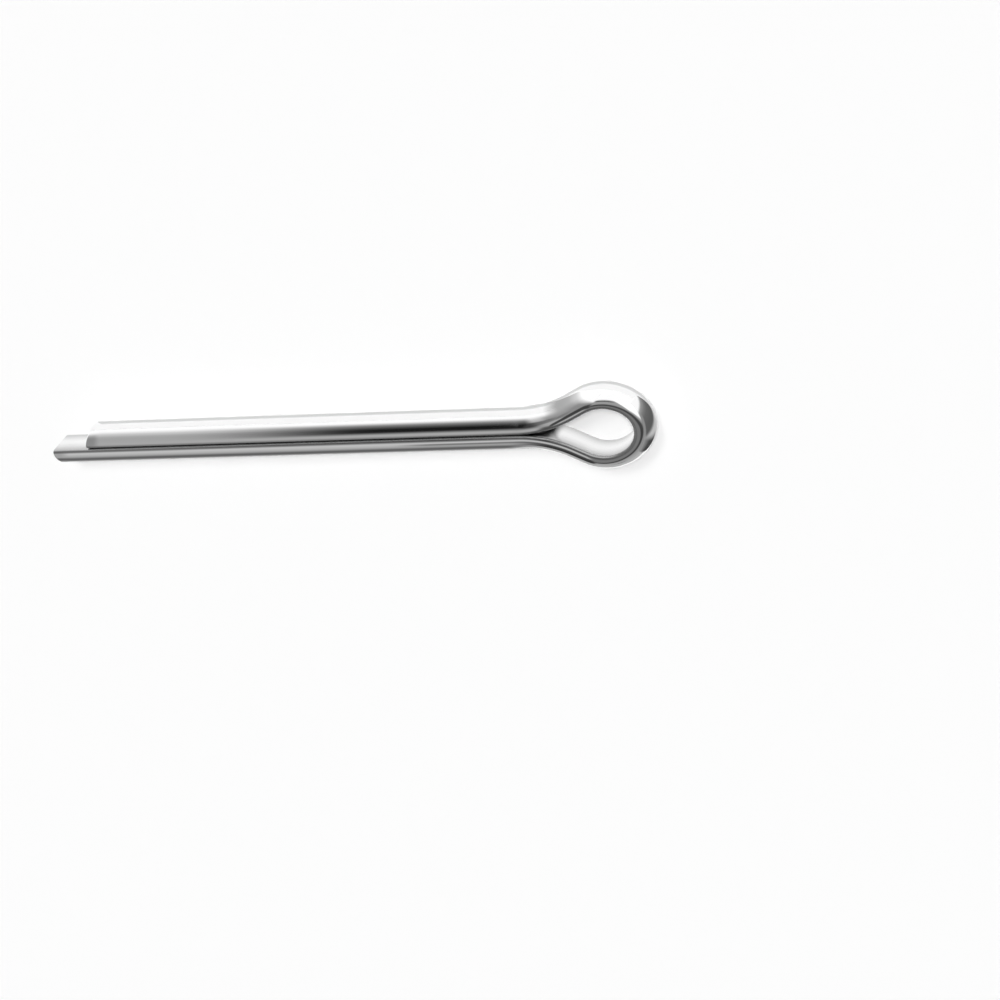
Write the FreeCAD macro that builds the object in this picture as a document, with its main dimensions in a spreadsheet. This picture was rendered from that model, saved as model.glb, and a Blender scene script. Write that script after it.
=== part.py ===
"""Split cotter pin, bent from one length of half-round steel wire.

The wire is doubled back on itself with its flat side inwards.  The bend is left
open as an eye, the two legs close flat to flat into a round shank, and one leg
is longer than the other so that the pair can be pulled apart after fitting.

The pin lies flat.  +X runs along the shank towards the eye, +Y is the side of
the shorter leg, +Z is up, and the origin is below the middle of the pin, on
the surface that it lies on.  All lengths are in millimetres.
"""

import FreeCAD, Part
import Sketcher
import math
import os

NODE = "split_pin"

# Driving dimensions: alias, value, what it is.
SIZES = [
    ("wire_width", 5.7, "diameter of the half-round wire, across its flat"),
    ("wire_corner", 0.45, "radius where the flat meets the round"),
    ("split_gap", 0.08, "gap between the two closed legs"),
    ("nose_radius", 3.1, "inside radius at the front of the eye"),
    ("nose_half_angle", 50.0, "half of the turn that the front of the eye makes"),
    ("side_radius", 4.7, "inside radius along each side of the eye"),
    ("flank_angle", 28.0, "slope of the eye's flanks to the shank"),
    ("flank_length", 2.0, "straight stretch of each flank"),
    ("short_leg", 62.85, "straight length of the shorter leg"),
    ("leg_step", 5.2, "how far the longer leg runs past the shorter one"),
    ("end_rounding", 0.2, "radius that the edges of the sheared ends are dulled to"),
]

START, END, CENTRE = 1, 2, 3          # the points of a line or an arc in a sketch
X_AXIS, ORIGIN = -1, (-1, 1)          # a sketch's own horizontal axis and origin


def make_sheet(doc):
    """The spreadsheet that every size of the pin is read from."""
    sheet = doc.addObject("Spreadsheet::Sheet", "sizes")
    for row, (alias, value, meaning) in enumerate(SIZES, start=1):
        sheet.set(f"A{row}", alias)
        sheet.set(f"B{row}", str(value))
        sheet.set(f"C{row}", meaning)
        sheet.setAlias(f"B{row}", alias)
    doc.recompute()
    return sheet


def origin_plane(body, role):
    """One of the body's own three origin planes."""
    return next(plane for plane in body.Origin.OriginFeatures if plane.Role == role)


def new_sketch(body, name, role):
    sketch = body.newObject("Sketcher::SketchObject", name)
    sketch.AttachmentSupport = [(origin_plane(body, role), "")]
    sketch.MapMode = "FlatFace"
    return sketch


def drive(sketch, constraint, name, expression):
    """Adds a dimension to a sketch and ties it to the spreadsheet."""
    index = sketch.addConstraint(constraint)
    sketch.renameConstraint(index, name)
    sketch.setExpression(f"Constraints.{name}", expression)


def arc(centre, radius, first, last):
    """A counter-clockwise arc in a sketch's plane, between two angles in radians."""
    circle = Part.Circle(centre, FreeCAD.Vector(0, 0, 1), radius)
    return Part.ArcOfCircle(circle, first, last)


def side_of_eye(sheet, side):
    """Leg, shoulder, flank and side arc of one half of the bend, drawn in place.

    side is +1 for the half above the shank's axis and -1 for the one below.
    The flat face of the wire runs along these curves.
    """
    nose = math.radians(sheet.nose_half_angle)
    slope = math.radians(sheet.flank_angle)
    inset = sheet.side_radius - sheet.nose_radius

    def point(x, y):
        return FreeCAD.Vector(x, side * y, 0)

    def swept(centre_x, centre_y, radius, first, last):
        centre = point(centre_x, centre_y)
        if side > 0:
            return arc(centre, radius, first, last)
        return arc(centre, radius, -last, -first)

    side_x = -inset * math.cos(nose)
    side_y = -inset * math.sin(nose)
    flank_top_x = side_x - sheet.side_radius * math.sin(slope)
    flank_top_y = side_y + sheet.side_radius * math.cos(slope)
    flank_low_x = flank_top_x - sheet.flank_length * math.cos(slope)
    flank_low_y = flank_top_y - sheet.flank_length * math.sin(slope)
    leg_y = sheet.split_gap / 2
    shoulder = (flank_low_y - leg_y) / (1 - math.cos(slope))
    leg_x = flank_low_x - shoulder * math.sin(slope)
    leg_length = sheet.short_leg if side > 0 else sheet.short_leg + sheet.leg_step

    leg = Part.LineSegment(point(leg_x - leg_length, leg_y), point(leg_x, leg_y))
    shoulder_arc = swept(leg_x, leg_y + shoulder, shoulder, -math.pi / 2, slope - math.pi / 2)
    flank = Part.LineSegment(point(flank_low_x, flank_low_y), point(flank_top_x, flank_top_y))
    side_arc = swept(side_x, side_y, sheet.side_radius, nose, slope + math.pi / 2)
    return leg, shoulder_arc, flank, side_arc


def draw_bend(body, sheet):
    """The line that the middle of the wire's flat face follows, from leg end to leg end."""
    sketch = new_sketch(body, "bend_line", "XY_Plane")
    nose_turn = math.radians(sheet.nose_half_angle)

    upper = [sketch.addGeometry(piece) for piece in side_of_eye(sheet, 1)]
    nose = sketch.addGeometry(arc(FreeCAD.Vector(0, 0, 0), sheet.nose_radius, -nose_turn, nose_turn))
    lower = [sketch.addGeometry(piece) for piece in side_of_eye(sheet, -1)]
    short_leg, short_shoulder, short_flank, short_side = upper
    long_leg, long_shoulder, long_flank, long_side = lower

    # Every stretch of the wire runs smoothly into the next.  An arc is drawn
    # counter-clockwise, so the two halves meet their neighbours at opposite ends.
    joints = [
        (short_leg, END, short_shoulder, START),
        (short_shoulder, END, short_flank, START),
        (short_flank, END, short_side, END),
        (short_side, START, nose, END),
        (nose, START, long_side, END),
        (long_side, START, long_flank, END),
        (long_flank, START, long_shoulder, START),
        (long_shoulder, END, long_leg, END),
    ]
    for joint in joints:
        sketch.addConstraint(Sketcher.Constraint("Tangent", *joint))
    sketch.addConstraint(Sketcher.Constraint("Coincident", nose, CENTRE, *ORIGIN))
    sketch.addConstraint(Sketcher.Constraint("Vertical", nose, START, nose, END))
    sketch.addConstraint(Sketcher.Constraint("Horizontal", short_leg))
    sketch.addConstraint(Sketcher.Constraint("Horizontal", long_leg))
    sketch.addConstraint(Sketcher.Constraint("Equal", short_side, long_side))
    sketch.addConstraint(Sketcher.Constraint("Equal", short_flank, long_flank))

    slope = math.radians(sheet.flank_angle)
    half_gap = sheet.split_gap / 2
    drive(sketch, Sketcher.Constraint("Radius", nose, sheet.nose_radius),
          "nose_radius", "sizes.nose_radius")
    drive(sketch, Sketcher.Constraint("Angle", nose, 2 * nose_turn),
          "nose_turn", "2 * sizes.nose_half_angle * 1 deg")
    drive(sketch, Sketcher.Constraint("Radius", short_side, sheet.side_radius),
          "side_radius", "sizes.side_radius")
    drive(sketch, Sketcher.Constraint("Angle", short_flank, slope),
          "short_slope", "sizes.flank_angle * 1 deg")
    drive(sketch, Sketcher.Constraint("Angle", long_flank, -slope),
          "long_slope", "-sizes.flank_angle * 1 deg")
    drive(sketch, Sketcher.Constraint("Distance", short_flank, sheet.flank_length),
          "flank_length", "sizes.flank_length")
    drive(sketch, Sketcher.Constraint("DistanceY", *ORIGIN, short_leg, END, half_gap),
          "short_half_gap", "sizes.split_gap / 2")
    drive(sketch, Sketcher.Constraint("DistanceY", long_leg, END, *ORIGIN, half_gap),
          "long_half_gap", "sizes.split_gap / 2")
    drive(sketch, Sketcher.Constraint("Distance", short_leg, sheet.short_leg),
          "short_leg", "sizes.short_leg")
    drive(sketch, Sketcher.Constraint("Distance", long_leg, sheet.short_leg + sheet.leg_step),
          "long_leg", "sizes.short_leg + sizes.leg_step")

    # Where the two legs end, measured back from the middle of the eye's nose.
    for name, leg in (("short_reach", short_leg), ("long_reach", long_leg)):
        reach = sketch.addConstraint(Sketcher.Constraint("DistanceX", leg, START, *ORIGIN, 1.0))
        sketch.setDriving(reach, False)
        sketch.renameConstraint(reach, name)
    return sketch


def draw_section(body, sheet):
    """The half-round section: its flat on the bend line, its round side outwards."""
    sketch = new_sketch(body, "wire_section", "YZ_Plane")
    radius = sheet.wire_width / 2
    corner = sheet.wire_corner
    corner_height = math.sqrt((radius - corner) ** 2 - corner ** 2)
    tangent_angle = math.atan2(corner_height, corner)

    def at(x, y):
        return FreeCAD.Vector(x, y, 0)

    flat = sketch.addGeometry(Part.LineSegment(at(0, -corner_height), at(0, corner_height)))
    top = sketch.addGeometry(arc(at(corner, corner_height), corner, tangent_angle, math.pi))
    back = sketch.addGeometry(arc(at(0, 0), radius, -tangent_angle, tangent_angle))
    bottom = sketch.addGeometry(arc(at(corner, -corner_height), corner, math.pi, 2 * math.pi - tangent_angle))

    joints = [
        (flat, END, top, END),
        (top, START, back, END),
        (back, START, bottom, END),
        (bottom, START, flat, START),
    ]
    for joint in joints:
        sketch.addConstraint(Sketcher.Constraint("Tangent", *joint))
    sketch.addConstraint(Sketcher.Constraint("Coincident", back, CENTRE, *ORIGIN))
    sketch.addConstraint(Sketcher.Constraint("PointOnObject", flat, START, -2))
    sketch.addConstraint(Sketcher.Constraint("Vertical", flat))
    sketch.addConstraint(Sketcher.Constraint("Equal", top, bottom))
    drive(sketch, Sketcher.Constraint("Radius", back, radius), "wire_radius", "sizes.wire_width / 2")
    drive(sketch, Sketcher.Constraint("Radius", top, corner), "wire_corner", "sizes.wire_corner")

    sketch.setExpression("AttachmentOffset.Base.x", "sizes.split_gap / 2")
    sketch.setExpression("AttachmentOffset.Base.z", "-bend_line.Constraints.short_reach")
    return sketch


def end_edges(shape, end_x):
    """Names of the edges around the sheared end that lies in the plane x = end_x."""
    names = []
    for number, edge in enumerate(shape.Edges, start=1):
        box = edge.BoundBox
        if abs(box.XMin - end_x) < 1e-4 and abs(box.XMax - end_x) < 1e-4:
            names.append(f"Edge{number}")
    return names


def make_pin(doc, sheet):
    body = doc.addObject("PartDesign::Body", NODE)
    body.Label = NODE
    bend = draw_bend(body, sheet)
    doc.recompute()
    section = draw_section(body, sheet)
    doc.recompute()

    wire = body.newObject("PartDesign::AdditivePipe", "bent_wire")
    wire.Profile = section
    wire.Spine = (bend, [f"Edge{n}" for n in range(1, len(bend.Shape.Edges) + 1)])
    wire.Mode = "Standard"
    doc.recompute()

    ends = []
    for reach in ("short_reach", "long_reach"):
        ends += end_edges(wire.Shape, -bend.getDatum(reach).Value)
    dulled = body.newObject("PartDesign::Fillet", "dulled_ends")
    dulled.Base = (wire, ends)
    dulled.setExpression("Radius", "sizes.end_rounding")
    doc.recompute()

    # The eye's nose and the end of the longer leg lie equally far from the
    # origin, and the corners of the section rest on the surface.
    body.setExpression(
        "Placement.Base.x",
        "(bend_line.Constraints.long_reach - (sizes.nose_radius + sizes.wire_width / 2) * 1 mm) / 2",
    )
    body.setExpression(
        "Placement.Base.z",
        "sqrt((sizes.wire_width / 2 - sizes.wire_corner)^2 - sizes.wire_corner^2) + sizes.wire_corner",
    )
    doc.recompute()
    return body


def check(doc, body):
    for item in doc.Objects:
        bad = [state for state in item.State if state in ("Invalid", "Error")]
        if bad:
            raise RuntimeError(f"{item.Name} did not compute: {bad}")
    if body.Shape.isNull() or not body.Shape.isValid():
        raise RuntimeError(f"{body.Label} has no valid shape")


def main():
    doc = FreeCAD.newDocument("split_cotter_pin")
    sheet = make_sheet(doc)
    pin = make_pin(doc, sheet)
    check(doc, pin)
    os.makedirs("parts", exist_ok=True)
    pin.Shape.exportStep(f"parts/{pin.Label}.step")


main()
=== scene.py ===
"""A split cotter pin, bent from one length of bright half-round steel wire.

The pin lies flat: +X runs along the shank to the eye, +Y is the side of the
shorter leg, and the flat of the wire faces inwards all the way round. The
wire, the cards and the mats are drawn in millimetres and scaled when their
mesh is finished. The tent and what make_sheet is given are in metres.
"""

import math

import bmesh
import bpy
from mathutils import Matrix, Vector


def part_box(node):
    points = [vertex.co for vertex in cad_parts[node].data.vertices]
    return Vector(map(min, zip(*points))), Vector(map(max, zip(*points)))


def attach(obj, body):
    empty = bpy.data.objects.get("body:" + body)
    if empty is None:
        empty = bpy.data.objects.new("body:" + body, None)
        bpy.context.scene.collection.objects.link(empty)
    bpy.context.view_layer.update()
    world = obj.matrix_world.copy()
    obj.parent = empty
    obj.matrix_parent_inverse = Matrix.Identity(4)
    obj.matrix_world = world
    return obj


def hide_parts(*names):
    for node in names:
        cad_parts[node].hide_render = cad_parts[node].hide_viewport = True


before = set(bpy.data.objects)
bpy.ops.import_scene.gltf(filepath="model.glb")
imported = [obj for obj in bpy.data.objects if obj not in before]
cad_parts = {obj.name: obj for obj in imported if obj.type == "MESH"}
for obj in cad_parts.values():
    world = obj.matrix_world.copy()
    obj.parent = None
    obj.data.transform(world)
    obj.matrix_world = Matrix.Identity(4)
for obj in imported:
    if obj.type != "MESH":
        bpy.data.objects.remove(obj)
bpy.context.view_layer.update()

MM = 0.001                    # metres in a millimetre

# The wire and its bends, as the steel is made.
WIRE_WIDTH = 5.7              # diameter of the half-round, across its flat
WIRE_CORNER = 0.45            # radius where the flat meets the round
SPLIT_GAP = 0.08              # gap between the closed legs
NOSE_RADIUS = 3.1             # inside the front of the eye
NOSE_HALF_ANGLE = math.radians(50)
SIDE_RADIUS = 4.7             # inside each side of the eye
FLANK_ANGLE = math.radians(28)
FLANK_LENGTH = 2.0
SHORT_LEG = 62.85
LEG_STEP = 5.2
END_ROUNDING = 0.2            # the sheared ends' dulled edges
SHORT_END_DOME = 4.7          # radius, seen from above, to which the short leg is sheared
LONG_END_DOME = 12.0

# How finely it is drawn: facets round its section, and rings along it.
CORNER_FACETS = 12
ROUND_FACETS = 80
FLAT_CUTS = 9
SHORT_LEG_RINGS = 24
LONG_LEG_RINGS = 26
SHOULDER_RINGS = 28
FLANK_RINGS = 2
SIDE_RINGS = 40
NOSE_RINGS = 60
ROUNDING_FACETS = 5

UP = Vector((0, 0, 1))


# --- shader maths -----------------------------------------------------------

class Socket:
    """One output of a shader node. Operators on it add Math nodes."""

    def __init__(self, tree, output):
        self.tree = tree
        self.output = output

    def _math(self, operation, *values):
        return node(self.tree, "ShaderNodeMath", {"operation": operation}, dict(enumerate(values)))

    def __add__(self, other):
        return self._math("ADD", self, other)

    def __radd__(self, other):
        return self._math("ADD", other, self)

    def __sub__(self, other):
        return self._math("SUBTRACT", self, other)

    def __rsub__(self, other):
        return self._math("SUBTRACT", other, self)

    def __mul__(self, other):
        return self._math("MULTIPLY", self, other)

    def __rmul__(self, other):
        return self._math("MULTIPLY", other, self)

    def __truediv__(self, other):
        return self._math("DIVIDE", self, other)

    def __rtruediv__(self, other):
        return self._math("DIVIDE", other, self)

    def __pow__(self, other):
        return self._math("POWER", self, other)

    def angle_from(self, other):
        return self._math("ARCTAN2", self, other)

    def least(self, other):
        return self._math("MINIMUM", self, other)

    def most(self, other):
        return self._math("MAXIMUM", self, other)

    def part(self, name):
        return Socket(self.tree, self.output.node.outputs[name])


def node(tree, kind, settings=None, inputs=None, output=0):
    """Adds a node: its settings first, then the values or links of its sockets."""
    added = tree.nodes.new(kind)
    for name, value in (settings or {}).items():
        if name == "stops":
            ramp = added.color_ramp
            for place, _ in value[1:-1]:
                ramp.elements.new(place)
            for element, (place, level) in zip(ramp.elements, value):
                element.position = place
                element.color = (level, level, level, 1)
        elif name == "ramp_interpolation":
            added.color_ramp.interpolation = value
        else:
            setattr(added, name, value)
    for name, value in (inputs or {}).items():
        socket = live(added.inputs, name)
        if isinstance(value, Socket):
            tree.links.new(value.output, socket)
        else:
            socket.default_value = value
    return Socket(tree, live(added.outputs, output))


def live(sockets, name):
    """A socket by its number, or by name among those that the node's settings leave on."""
    if isinstance(name, int):
        return sockets[name]
    return next(socket for socket in sockets if socket.name == name and socket.enabled)


def new_material(name):
    material = bpy.data.materials.new(name)
    material.use_nodes = True
    material.node_tree.nodes.clear()
    return material, material.node_tree


def put_out(tree, surface, kind="ShaderNodeOutputMaterial"):
    end = tree.nodes.new(kind)
    tree.links.new(surface.output, end.inputs["Surface"])


def soft_step(value, low, high):
    """0 below low, 1 above high and smooth between, or the other way round if low is the higher."""
    return node(value.tree, "ShaderNodeMapRange", {"interpolation_type": "SMOOTHSTEP"}, {
        "Value": value, "From Min": low, "From Max": high})


def levels(value, stops):
    """A grey level that runs straight between stops, each a value and its level."""
    low, high = stops[0][0], stops[-1][0]
    placed = [((stop - low) / (high - low), level) for stop, level in stops]
    return node(value.tree, "ShaderNodeValToRGB", {"stops": placed, "ramp_interpolation": "LINEAR"}, {
        "Fac": (value - low) / (high - low)})


def band(value, low, high, fade):
    """1 between low and high, with a soft edge of the given width inside each."""
    return soft_step(value, low, low + fade) * soft_step(value, high, high - fade)


def over(level, painted, cover):
    return level + (painted - level) * cover


# --- the wire ---------------------------------------------------------------

def draw_section(bm):
    """The half-round section at the origin, flat on y = 0 and round side to +Y."""
    radius = WIRE_WIDTH / 2
    corner_height = math.sqrt((radius - WIRE_CORNER) ** 2 - WIRE_CORNER ** 2)
    tangent = math.atan2(corner_height, WIRE_CORNER)
    corner_turn = math.pi - tangent
    arcs = [
        ((0, WIRE_CORNER, corner_height), -corner_turn, CORNER_FACETS),
        ((0, 0, 0), -2 * tangent, ROUND_FACETS),
        ((0, WIRE_CORNER, -corner_height), -corner_turn, CORNER_FACETS),
    ]
    first = last = bm.verts.new((0, 0, corner_height))
    for centre, angle, steps in arcs:
        swept = bmesh.ops.spin(bm, geom=[last], cent=centre, axis=(1, 0, 0), angle=angle, steps=steps)
        last = next(item for item in swept["geom_last"] if isinstance(item, bmesh.types.BMVert))
    flat = bm.edges.new((last, first))
    bmesh.ops.subdivide_edges(bm, edges=[flat], cuts=FLAT_CUTS)
    return bm.edges[:]


def each_once(items):
    """The items without repeats and in their own order, so that every run draws them alike."""
    return list(dict.fromkeys(items))


def new_ring(grown, unbent, along):
    """The ring at the end of what was just drawn, marked with its place along the wire before bending."""
    for vert in (item for item in grown if isinstance(item, bmesh.types.BMVert)):
        vert[unbent].x = along
    return [item for item in grown if isinstance(item, bmesh.types.BMEdge)]


def draw_straight(bm, ring, heading, length, steps):
    """Carries the section straight on, and gives the ring that it ends on."""
    unbent = bm.verts.layers.float_vector["unbent"]
    start = ring[0].verts[0][unbent].x
    for step in range(1, steps + 1):
        grown = bmesh.ops.extrude_edge_only(bm, edges=ring)["geom"]
        ring = new_ring(grown, unbent, start + length * step / steps)
        verts = each_once(vert for edge in ring for vert in edge.verts)
        bmesh.ops.translate(bm, verts=verts, vec=heading * (length / steps))
    return ring


def draw_bend(bm, ring, centre, angle, steps):
    """Carries the section round a bend, and gives the ring that it ends on."""
    unbent = bm.verts.layers.float_vector["unbent"]
    start = ring[0].verts[0][unbent].x
    verts = each_once(vert for edge in ring for vert in edge.verts)
    middle = sum((vert.co for vert in verts), Vector()) / len(verts)
    length = (middle - Vector(centre)).length * abs(angle)
    for step in range(1, steps + 1):
        geom = ring + each_once(vert for edge in ring for vert in edge.verts)
        swept = bmesh.ops.spin(bm, geom=geom, cent=centre, axis=UP, angle=angle / steps, steps=1)
        grown = swept["geom_last"]
        ring = new_ring(grown, unbent, start + length * step / steps)
    return ring


def bend_up(bm, ring):
    """Runs a section from the short leg's end round the eye, whose nose is centred on the origin.

    The attribute "unbent" keeps each point's place in the straight wire: along it, out from its
    flat, and up.
    """
    unbent = bm.verts.layers.float_vector.new("unbent")
    for vert in bm.verts:
        vert[unbent] = vert.co

    inset = SIDE_RADIUS - NOSE_RADIUS
    side_x = -inset * math.cos(NOSE_HALF_ANGLE)
    side_y = -inset * math.sin(NOSE_HALF_ANGLE)
    flank_x = side_x - SIDE_RADIUS * math.sin(FLANK_ANGLE) - FLANK_LENGTH * math.cos(FLANK_ANGLE)
    flank_y = side_y + SIDE_RADIUS * math.cos(FLANK_ANGLE) - FLANK_LENGTH * math.sin(FLANK_ANGLE)
    leg_y = SPLIT_GAP / 2
    shoulder = (flank_y - leg_y) / (1 - math.cos(FLANK_ANGLE))
    leg_x = flank_x - shoulder * math.sin(FLANK_ANGLE)
    side_turn = FLANK_ANGLE + math.pi / 2 - NOSE_HALF_ANGLE

    out_of_leg = Vector((math.cos(FLANK_ANGLE), math.sin(FLANK_ANGLE), 0))
    back_to_leg = Vector((-math.cos(FLANK_ANGLE), math.sin(FLANK_ANGLE), 0))

    bmesh.ops.translate(bm, verts=bm.verts, vec=(leg_x - SHORT_LEG, leg_y, 0))
    ring = draw_straight(bm, ring, Vector((1, 0, 0)), SHORT_LEG, SHORT_LEG_RINGS)
    ring = draw_bend(bm, ring, (leg_x, leg_y + shoulder, 0), FLANK_ANGLE, SHOULDER_RINGS)
    ring = draw_straight(bm, ring, out_of_leg, FLANK_LENGTH, FLANK_RINGS)
    ring = draw_bend(bm, ring, (side_x, side_y, 0), -side_turn, SIDE_RINGS)
    ring = draw_bend(bm, ring, (0, 0, 0), -2 * NOSE_HALF_ANGLE, NOSE_RINGS)
    ring = draw_bend(bm, ring, (side_x, -side_y, 0), -side_turn, SIDE_RINGS)
    ring = draw_straight(bm, ring, back_to_leg, FLANK_LENGTH, FLANK_RINGS)
    ring = draw_bend(bm, ring, (leg_x, -leg_y - shoulder, 0), FLANK_ANGLE, SHOULDER_RINGS)
    return draw_straight(bm, ring, Vector((-1, 0, 0)), SHORT_LEG + LEG_STEP, LONG_LEG_RINGS)


def bent_wire():
    bm = bmesh.new()
    first_end = draw_section(bm)
    last_end = bend_up(bm, first_end)
    ends = [bmesh.ops.contextual_create(bm, geom=end)["faces"][0] for end in (first_end, last_end)]
    bmesh.ops.bevel(bm, geom=[edge for face in ends for edge in face.edges], offset=END_ROUNDING,
                    offset_type="OFFSET", affect="EDGES", segments=ROUNDING_FACETS, profile=0.5,
                    material=-1, clamp_overlap=False)
    for face in bm.faces:
        face.smooth = len(face.verts) <= 4
        face.material_index = int(not face.smooth)
    short_end, long_end = sorted((face for face in bm.faces if not face.smooth),
                                 key=lambda face: -face.verts[0].co.x)
    dome_end(bm, short_end, SHORT_END_DOME)
    dome_end(bm, long_end, LONG_END_DOME)
    bmesh.ops.recalc_face_normals(bm, faces=bm.faces)
    return bm


def dome_end(bm, end, radius):
    """Cuts an end into upright strips and draws them back to a round, with the edge about them."""
    end_x = end.verts[0].co.x
    cuts = sorted(vert.co.y for vert in end.verts if vert.co.z > 0)[2:-2:3]
    strips = [end]
    for y in cuts:
        edges = each_once(edge for face in strips for edge in face.edges)
        verts = each_once(vert for face in strips for vert in face.verts)
        cut = bmesh.ops.bisect_plane(bm, geom=strips + edges + verts, dist=1e-4,
                                     plane_co=(0, y, 0), plane_no=(0, 1, 0))
        strips = [item for item in cut["geom"] if isinstance(item, bmesh.types.BMFace)]
    for vert in bm.verts:
        if abs(vert.co.x - end_x) < 2 * END_ROUNDING:
            vert.co.x += radius - math.sqrt(radius ** 2 - vert.co.y ** 2)


def put_in_order(bm):
    """Numbers edges and faces by their vertices, because extrude and spin order them anew each run."""
    bm.verts.index_update()
    for parts in (bm.edges, bm.faces):
        ordered = sorted(parts, key=lambda part: sorted(vert.index for vert in part.verts))
        for number, part in enumerate(ordered):
            part.index = number
        parts.sort()


def to_mesh(bm, name):
    put_in_order(bm)
    mesh = bpy.data.meshes.new(name)
    bm.to_mesh(mesh)
    bm.free()
    return mesh


def wire_to_mesh(bm, name):
    """Finishes a mesh drawn in millimetres about the eye's nose, and puts it in the pin's place."""
    low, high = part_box("split_pin")
    eye_x = high[0] / MM - NOSE_RADIUS - WIRE_WIDTH / 2
    middle_z = (low[2] + high[2]) / 2 / MM
    bmesh.ops.translate(bm, verts=bm.verts, vec=(eye_x, 0, middle_z))
    bmesh.ops.scale(bm, verts=bm.verts, vec=(MM, MM, MM))
    return to_mesh(bm, name)


def make_pin():
    pin = bpy.data.objects.new("bent_wire", wire_to_mesh(bent_wire(), "bent_wire"))
    bpy.context.collection.objects.link(pin)
    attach(pin, "root")
    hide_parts("split_pin")
    return pin


# --- finishes ---------------------------------------------------------------

def mix_colour(factor, low, high):
    low, high = (end if isinstance(end, Socket) else (*end, 1) for end in (low, high))
    return node(factor.tree, "ShaderNodeMix", {"data_type": "RGBA"}, {
        "Factor": factor, "A": low, "B": high}, output="Result")


def noise(vector, scale, detail):
    return node(vector.tree, "ShaderNodeTexNoise", {"noise_dimensions": "3D"}, {
        "Vector": vector, "Scale": scale, "Detail": detail})


def stretched(vector, factors):
    return node(vector.tree, "ShaderNodeVectorMath", {"operation": "MULTIPLY"}, {0: vector, 1: factors})


def bright_steel():
    """Half-round wire as it leaves the rolls: the round polished and its flat and corners rougher, with
    painted shade darkening the flat towards its edges and the corners.
    """
    material, tree = new_material("bright_steel")
    unbent = node(tree, "ShaderNodeAttribute", {"attribute_name": "unbent"}).part("Vector")
    place = node(tree, "ShaderNodeSeparateXYZ", inputs={"Vector": unbent})
    out, up = place.part("Y"), place.part("Z")
    # Masks by how far out from the flat a point lies, in millimetres.
    flat = soft_step(out, 0.08, 0.02)
    corner = soft_step(out, 0.02, 0.08) * soft_step(out, 0.60, 0.35)
    lines = noise(stretched(unbent, (0.04, 5, 5)), 1.0, 3)
    mottle = noise(stretched(unbent, (0.25, 0.8, 0.8)), 1.0, 2)
    polished = mix_colour(mottle, (0.94, 0.94, 0.94), (0.97, 0.97, 0.97))
    # Painted shade: the flat's colour is darker towards its two edges.
    flat_painted_shade = levels(up.most(0 - up), [(0, 0.93), (0.5, 0.90), (1.3, 0.78), (2.0, 0.62), (2.8, 0.50)])
    rolled = mix_colour(flat, polished, flat_painted_shade)
    # Painted shade: the corners' colour is darkened to 0.45, drawing dark lines along the seam between
    # the legs and round the eye.
    surface = node(tree, "ShaderNodeBsdfPrincipled", inputs={
        "Base Color": mix_colour(corner, rolled, (0.45, 0.45, 0.45)),
        "Metallic": 1,
        "Roughness": 0.045 + 0.04 * lines + 0.10 * flat + 0.18 * corner,
        "Normal": node(tree, "ShaderNodeBump", inputs={
            "Strength": 1.0, "Distance": 1.5e-6, "Height": lines}),
    })
    put_out(tree, surface)
    return material


def sheared_steel():
    """The cut ends: satin, with the blade's marks running down them."""
    material, tree = new_material("sheared_steel")
    place = node(tree, "ShaderNodeTexCoord").part("Object")
    marks = noise(stretched(place, (2000, 3500, 500)), 1.0, 3)
    surface = node(tree, "ShaderNodeBsdfPrincipled", inputs={
        "Base Color": mix_colour(marks, (0.62, 0.62, 0.62), (0.80, 0.80, 0.80)),
        "Metallic": 1,
        "Roughness": 0.30 + 0.15 * marks,
        "Normal": node(tree, "ShaderNodeBump", inputs={
            "Strength": 1.0, "Distance": 1.2e-5, "Height": marks}),
    })
    put_out(tree, surface)
    return material


# --- floor, lamps and surroundings ------------------------------------------

FLOOR_SIDE = 3.0              # metres
FLOOR_LEVEL = 0.95
WHITE = (1, 1, 1, 1)
NEAR_BLACK = (0.05, 0.05, 0.05, 1)
# The light that reaches a level sheet from the sky, the key lamp and the side lamp.
AMBIENT = 0.14
KEY = 0.66
SIDE = 0.18


def background_rays(tree):
    """1 for the rays that see a background: the camera's, and those off or through a surface."""
    paths = node(tree, "ShaderNodeLightPath")
    seen = paths.part("Is Camera Ray") + paths.part("Is Glossy Ray") + paths.part("Is Transmission Ray")
    return node(tree, "ShaderNodeMath", {"operation": "MINIMUM"}, {0: seen, 1: 1.0})


def put_on_stage(name, mesh, material):
    mesh.materials.append(material)
    thing = bpy.data.objects.new(name, mesh)
    bpy.context.collection.objects.link(thing)
    return thing


def only_mirrored(thing):
    """Keeps a stage piece out of everything but the steel's mirror images."""
    thing.visible_camera = False
    thing.visible_diffuse = False
    thing.visible_shadow = False
    thing.visible_transmission = False


def make_sheet(name, low, high, height, material):
    """A flat level sheet of the stage, between two corners, in metres."""
    bm = bmesh.new()
    bmesh.ops.create_grid(bm, x_segments=1, y_segments=1, size=0.5)
    bmesh.ops.scale(bm, verts=bm.verts, vec=(high[0] - low[0], high[1] - low[1], 1))
    bmesh.ops.translate(bm, verts=bm.verts, vec=((low[0] + high[0]) / 2, (low[1] + high[1]) / 2, height))
    return put_on_stage(name, to_mesh(bm, name), material)


def white_floor():
    material, tree = new_material("white_floor")
    paint = node(tree, "ShaderNodeBsdfDiffuse", inputs={
        "Color": (FLOOR_LEVEL, FLOOR_LEVEL, FLOOR_LEVEL, 1)})
    glow = node(tree, "ShaderNodeEmission", inputs={
        "Strength": (1 - FLOOR_LEVEL) * background_rays(tree)})
    put_out(tree, node(tree, "ShaderNodeAddShader", inputs={0: paint, 1: glow}))
    return material


def degrees_from_zenith(heading):
    """How far a direction leans from straight overhead: positive on the +Y side."""
    parts = node(heading.tree, "ShaderNodeSeparateXYZ", inputs={"Vector": heading})
    return parts.part("Y").angle_from(parts.part("Z")) * (180 / math.pi)


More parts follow.
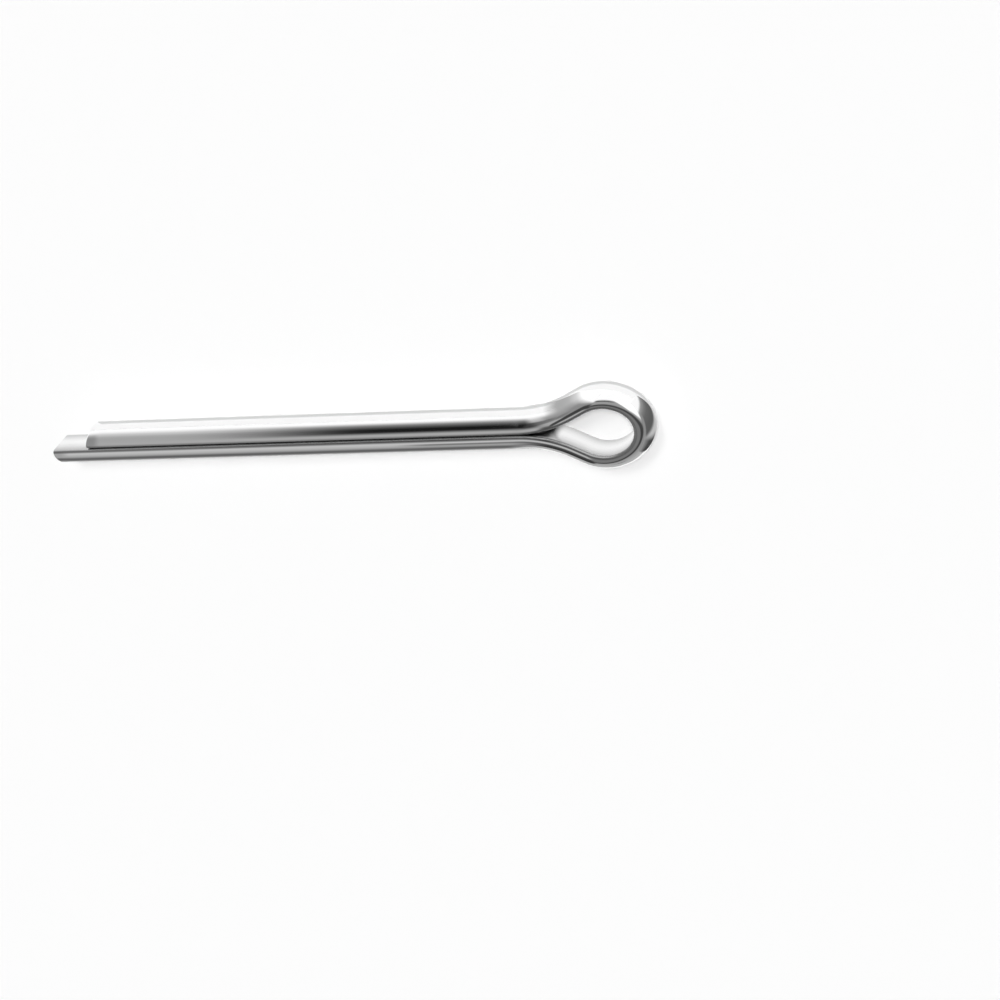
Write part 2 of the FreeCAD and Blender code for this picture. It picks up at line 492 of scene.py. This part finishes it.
def first_mirror(tree):
    """1 for what steel mirrors to the camera, and 0 for light that reaches the floor by way of steel."""
    paths = node(tree, "ShaderNodeLightPath")
    return paths.part("Is Glossy Ray") * (1 - paths.part("Diffuse Depth").least(1))


# Grey levels of the surroundings that the steel mirrors, from straight overhead
# (0 degrees) down to the horizon on the +Y side (90) and on the other side (-90).
SKY_LEVELS = [
    (-110, 0.05), (-90, 0.10), (-84, 0.20), (-78, 0.32), (-72, 0.43), (-64, 0.50), (-50, 0.53),
    (-36, 0.50), (-24, 0.43), (0, 0.40), (32, 0.38), (42, 0.42), (50, 0.53), (58, 0.63), (66, 0.82),
    (72, 0.96), (78, 1.05), (110, 1.05),
]
# How far the dark strip overhead takes that light away, by the same angle.
STRIP_LEVELS = [
    (-110, 0), (5, 0), (10, 0.35), (16, 0.76), (21, 0.97), (35, 0.98), (40, 0.90), (48, 0.80),
    (56, 0.65), (64, 0.43), (72, 0.10), (78, 0), (110, 0),
]


def make_surroundings():
    """A sky that is white to the camera, dim as a light, and in greys of its own in the steel."""
    world = bpy.data.worlds.new("studio")
    bpy.context.scene.world = world
    world.use_nodes = True
    tree = world.node_tree
    tree.nodes.clear()
    heading = node(tree, "ShaderNodeTexCoord").part("Generated")
    x = node(tree, "ShaderNodeSeparateXYZ", inputs={"Vector": heading}).part("X")
    lean = degrees_from_zenith(heading)
    sky = levels(lean, SKY_LEVELS) * (1 - levels(lean, STRIP_LEVELS) * soft_step(x, -0.38, -0.28))
    # A darker stretch overhead beyond the leg ends.
    sky = sky * (1 - 0.33 * soft_step(x, -0.43, -0.50) * soft_step(lean, 70, 45))
    paths = node(tree, "ShaderNodeLightPath")
    mirrored = node(tree, "ShaderNodeBackground", inputs={"Color": sky})
    plain = node(tree, "ShaderNodeBackground", inputs={
        "Color": WHITE, "Strength": paths.part("Is Camera Ray") * (1 - AMBIENT) + AMBIENT})
    surface = node(tree, "ShaderNodeMixShader", inputs={0: first_mirror(tree), 1: plain, 2: mirrored})
    put_out(tree, surface, "ShaderNodeOutputWorld")


TENT_RADIUS = 0.080           # metres
TENT_X = 0.015
BOARD_REACH = 0.74            # half the board's length, in tent radii
BOARD_SPREAD = 37             # half its breadth, in degrees


def tent_cloth():
    """The tent's inside: white on the +Y side, with a grey board overhead whose rim is dark."""
    material, tree = new_material("tent_cloth")
    place = node(tree, "ShaderNodeTexCoord").part("Object")
    x = (node(tree, "ShaderNodeSeparateXYZ", inputs={"Vector": place}).part("X") - TENT_X) / TENT_RADIUS
    lean = degrees_from_zenith(place)
    board_lean = lean + 31 - 12 * x
    # 0 at the board's middle, 1 at its edge and more outside it.
    board = ((x / BOARD_REACH) ** 2 + (board_lean / BOARD_SPREAD) ** 2) ** 0.5

    front = soft_step(board_lean, -2, 2)
    back = levels(lean, [(-110, 0.52), (-90, 0.49), (-80, 0.40), (-60, 0.28), (110, 0.28)])
    cloth = over(back, 0.33, front)
    cloth = over(cloth, 0.18, soft_step(board, 0.94, 0.84))
    cloth = cloth * (1 - 0.82 * band(board, 0.84, 1.20, 0.12))
    cloth = cloth * (1 - 0.80 * band(board, 1.44, 1.64, 0.08) * soft_step(x, 0.45, 0.30))
    white_edge = board - 1.72 + 0.42 * soft_step(x, 0.38, 0.62)
    cloth = over(cloth, 1.05, soft_step(white_edge, -0.10, 0.06) * front)
    cloth = over(cloth, 0.50, soft_step(x, 0.86, 0.92))

    # Towards the leg ends the tent is open, but for a black skirt low on the -Y side.
    mirrored = first_mirror(tree)
    skirt = soft_step(x, -0.36, -0.26) * soft_step(lean, -48, -62)
    open_side = node(tree, "ShaderNodeMixShader", inputs={
        0: 0.9 * skirt * mirrored,
        1: node(tree, "ShaderNodeBsdfTransparent"),
        2: node(tree, "ShaderNodeEmission", inputs={"Strength": 0.0})})
    surface = node(tree, "ShaderNodeMixShader", inputs={
        0: soft_step(x, -0.08, 0.00) * mirrored,
        1: open_side,
        2: node(tree, "ShaderNodeEmission", inputs={"Color": cloth})})
    put_out(tree, surface)
    return material


def make_tent():
    """A small light tent round the eye, seen by the steel alone."""
    bm = bmesh.new()
    bmesh.ops.create_uvsphere(bm, u_segments=96, v_segments=48, radius=TENT_RADIUS)
    bmesh.ops.bisect_plane(bm, geom=bm.verts[:] + bm.edges[:] + bm.faces[:], plane_co=(0, 0, 0),
                           plane_no=(0, 0, 1), clear_inner=True)
    bmesh.ops.translate(bm, verts=bm.verts, vec=(TENT_X, 0, 0))
    only_mirrored(put_on_stage("light_tent", to_mesh(bm, "light_tent"), tent_cloth()))


# Where the cards stand and how high they reach, in millimetres.
FLANK_CARD_X = 28
FLANK_CARD_TOP = 36
END_CARD_X = 45
END_CARD_TOP = 8.6
LINE_CARD_HEIGHT = 9


def place_in_mm(tree, axes):
    """The object's own coordinates along the named axes, in millimetres."""
    place = node(tree, "ShaderNodeSeparateXYZ", inputs={
        "Vector": node(tree, "ShaderNodeTexCoord").part("Object")})
    return [place.part(axis) / MM for axis in axes]


def put_out_card(tree, cover, shade):
    """A card of the given shade, that fades away where its cover does."""
    put_out(tree, node(tree, "ShaderNodeMixShader", inputs={
        0: cover * first_mirror(tree),
        1: node(tree, "ShaderNodeBsdfTransparent"),
        2: node(tree, "ShaderNodeEmission", inputs={"Color": shade})}))


def card_face(name, run, ends, fade, top, fade_top, shades):
    """A card's face, shaded by height, with soft ends and a soft top. Its places are in millimetres."""
    material, tree = new_material(name)
    along, z = place_in_mm(tree, run + "Z")
    cover = band(along, *ends, fade) * soft_step(z, top, top - fade_top)
    put_out_card(tree, cover, levels(z, shades))
    return material


def flank_face():
    """Grey next to the wire, and white further out."""
    material, tree = new_material("flank_card")
    y, z = place_in_mm(tree, "YZ")
    drawn = y - 0.22 * (z - 9).most(0)
    grey = levels(z, [(0, 0.43), (5.5, 0.43), (7.5, 0.36), (10.5, 0.26), (FLANK_CARD_TOP, 0.25)])
    shade = over(grey, 1.05, levels(drawn, [(6.8, 0), (8, 0.06), (12.5, 1), (14, 1)]))
    cover = levels(drawn, [(3.5, 0), (6, 1), (32, 1)]) * soft_step(z, FLANK_CARD_TOP, FLANK_CARD_TOP - 10)
    put_out_card(tree, cover, shade)
    return material


def end_face():
    """Dark beyond the eye's nose, and again on the -Y side of a lighter line that leans."""
    material, tree = new_material("end_card")
    y, z = place_in_mm(tree, "YZ")
    nose = levels(y + 0.5 * z, [
        (-6, 0.10), (3, 0.11), (5, 0.14), (6, 0.20), (7, 0.30), (7.4, 0.36), (7.8, 0.70), (8.3, 1)])
    nose = nose.most(0.26 * soft_step(z, 5.8, 7))
    far = levels(z, [(0, 0.055), (4, 0.07), (5.5, 0.18), (7, 0.28), (END_CARD_TOP, 0.28)])
    shade = over(0.52, nose, soft_step(y + 0.85 * z, 1.2, 3.2))
    shade = over(shade, far, soft_step(y, -2.0, -4.6))
    cover = soft_step(z, END_CARD_TOP, END_CARD_TOP - 1) * soft_step(y, -12.5, -9.5)
    put_out_card(tree, cover, shade)
    return material


def make_card(name, run, across, ends, top, face):
    """An upright card on the floor, seen by the steel alone. It runs along X or Y."""
    bm = bmesh.new()
    bmesh.ops.create_grid(bm, x_segments=1, y_segments=1, size=0.5)
    bmesh.ops.rotate(bm, verts=bm.verts, matrix=Matrix.Rotation(math.pi / 2, 3, "X"))
    bmesh.ops.scale(bm, verts=bm.verts, vec=(ends[1] - ends[0], 1, top))
    bmesh.ops.translate(bm, verts=bm.verts, vec=((ends[0] + ends[1]) / 2, 0, top / 2))
    if run == "Y":
        bmesh.ops.rotate(bm, verts=bm.verts, matrix=Matrix.Rotation(math.pi / 2, 3, "Z"))
    bmesh.ops.translate(bm, verts=bm.verts, vec=(across, 0, 0) if run == "Y" else (0, across, 0))
    bmesh.ops.scale(bm, verts=bm.verts, vec=(MM, MM, MM))
    only_mirrored(put_on_stage(name, to_mesh(bm, name), face))


def make_shaded_card(name, run, across, ends, fade, top, fade_top, shades):
    make_card(name, run, across, ends, top, card_face(name, run, ends, fade, top, fade_top, shades))


def line_face():
    """A dark line that follows the eye's +Y side, the blot it ends in and a shadow beside it."""
    material, tree = new_material("line_card")
    x, y = place_in_mm(tree, "XY")
    aside = y - 5 * levels(x, [
        (27.6, 0), (28.2, 0.24), (28.7, 0.36), (29.5, 0.54), (30.5, 0.66), (31.5, 0.76), (32.5, 0.85),
        (34, 0.88)])
    line = soft_step(aside.most(0 - aside), 1.15, 0.50) * band(x, 27.6, 34.4, 0.8)
    blot = 0.85 * band(x, 26.2, 29.4, 1.4) * soft_step(y, 2.0, 1.0)
    shadow = levels(x, [(24.4, 0), (24.9, 0.85), (26, 0.72), (27, 0.60), (28, 0.42), (29, 0.20), (30, 0)])
    shadow = shadow * soft_step(y - 0.35 * (x - 25), 1.9, 2.5) * soft_step(y, 5.6, 4.4)
    put_out_card(tree, line.most(blot).most(shadow), NEAR_BLACK)
    return material


def make_cards():
    """Small cards round the pin that give the steel its darker lines."""
    make_shaded_card("side_card", "X", -4.6, (-75, 28), 6, 8, 2, [
        (0, 0.60), (1.35, 0.55), (2.15, 0.46), (2.8, 0.33), (3.35, 0.24), (3.9, 0.135), (4.9, 0.115),
        (5.45, 0.22), (6, 0.33), (6.6, 0.42), (8, 0.50)])
    make_shaded_card("eye_side_card", "X", -16, (12, 54), 4, 6.5, 1, [(0, 0.50), (3, 0.45), (6.5, 0.40)])
    make_card("end_card", "Y", END_CARD_X, (-13, 8.3), END_CARD_TOP, end_face())
    make_card("flank_card", "Y", FLANK_CARD_X, (3, 60), FLANK_CARD_TOP, flank_face())
    only_mirrored(make_sheet("line_card", (24.2 * MM, -1.5 * MM), (34.4 * MM, 6.4 * MM),
                             LINE_CARD_HEIGHT * MM, line_face()))


MAT_LIFT = 0.02               # of the mats above the floor, in millimetres


def out_from_flat(tree):
    """How far a mat's point lies from the wire's flat, on the round side, in millimetres."""
    unbent = node(tree, "ShaderNodeAttribute", {"attribute_name": "unbent"}).part("Vector")
    return node(tree, "ShaderNodeSeparateXYZ", inputs={"Vector": unbent}).part("Y")


def outer_mat_face():
    material, tree = new_material("floor_shade_mat")
    # Painted shade: a grey that the steel mirrors in place of the floor's shade next to the wire.
    put_out_card(tree, soft_step(out_from_flat(tree), 6.8, 4.8), (0.68, 0.68, 0.68, 1))
    return material


def eye_mat_face():
    """White inside the eye, but black in the narrow angle where its sides meet: painted light and painted
    shade in the steel's mirror image.
    """
    material, tree = new_material("eye_mat")
    [x] = place_in_mm(tree, "X")
    cover = soft_step(out_from_flat(tree), 0.5, 0.1) * soft_step(x, 24.5, 26.5)
    # Painted light: white in place of the floor's shadow inside the eye. Painted shade: black in the
    # narrow angle.
    put_out_card(tree, cover, 0.98 * soft_step(x, 29.2, 30.8))
    return material


def make_mat(name, reach, face):
    """A strip on the floor, seen by the steel alone, that follows the wire, between two distances out
    from its flat.
    """
    low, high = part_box("split_pin")
    bm = bmesh.new()
    height = MAT_LIFT - (low[2] + high[2]) / 2 / MM
    verts = [bm.verts.new((0, out, height)) for out in reach]
    bend_up(bm, [bm.edges.new(verts)])
    only_mirrored(put_on_stage(name, wire_to_mesh(bm, name), face))


def make_mats():
    """Strips on the floor that the steel alone mirrors: grey outside, a painted shade of the floor that
    draws the wire's outline, and white inside the eye, a painted light in place of the floor's shadow,
    with black as painted shade where its sides meet.
    """
    make_mat("floor_shade_mat", (3.0, 6.8), outer_mat_face())
    make_mat("eye_mat", (-2.8, 0.5), eye_mat_face())


def make_lamp(name, level, slope, turn, spread):
    """A broad far lamp that leans from overhead towards +Y. Its angles are in degrees."""
    light = bpy.data.lights.new(name, "SUN")
    light.energy = level * math.pi / math.cos(math.radians(slope))
    light.angle = math.radians(spread)
    lamp = bpy.data.objects.new(name, light)
    bpy.context.collection.objects.link(lamp)
    lamp.rotation_euler = (math.radians(-slope), 0, math.radians(turn))
    lamp.visible_glossy = False


# --- camera -----------------------------------------------------------------

# The camera's place, aim, lens and sensor, in millimetres.
CAMERA_PLACE = Vector((75.67, 106.01, 230.0))
CAMERA_AIM = Vector((19.74, -12.54, 0))
CAMERA_ROLL = math.radians(-159.05)
CAMERA_LENS = 67.21
CAMERA_SENSOR = 36            # its width


def make_camera():
    data = bpy.data.cameras.new("camera")
    data.sensor_width = CAMERA_SENSOR
    data.lens = CAMERA_LENS
    data.clip_start = 0.01
    data.clip_end = 20
    camera = bpy.data.objects.new("camera", data)
    bpy.context.collection.objects.link(camera)
    turned = (CAMERA_AIM - CAMERA_PLACE).to_track_quat("-Z", "Y").to_matrix().to_4x4()
    rolled = turned @ Matrix.Rotation(CAMERA_ROLL, 4, "Z")
    camera.matrix_world = Matrix.Translation(CAMERA_PLACE * MM) @ rolled
    bpy.context.scene.camera = camera


pin = make_pin()
pin.data.materials.append(bright_steel())
pin.data.materials.append(sheared_steel())
half = FLOOR_SIDE / 2
make_sheet("floor", (-half, -half), (half, half), 0, white_floor())
make_tent()
make_cards()
make_mats()
make_surroundings()
make_lamp("key_lamp", KEY, slope=25, turn=-18, spread=12)
make_lamp("side_lamp", SIDE, slope=36, turn=15, spread=16)
make_camera()
bpy.context.scene.view_settings.view_transform = "Standard"
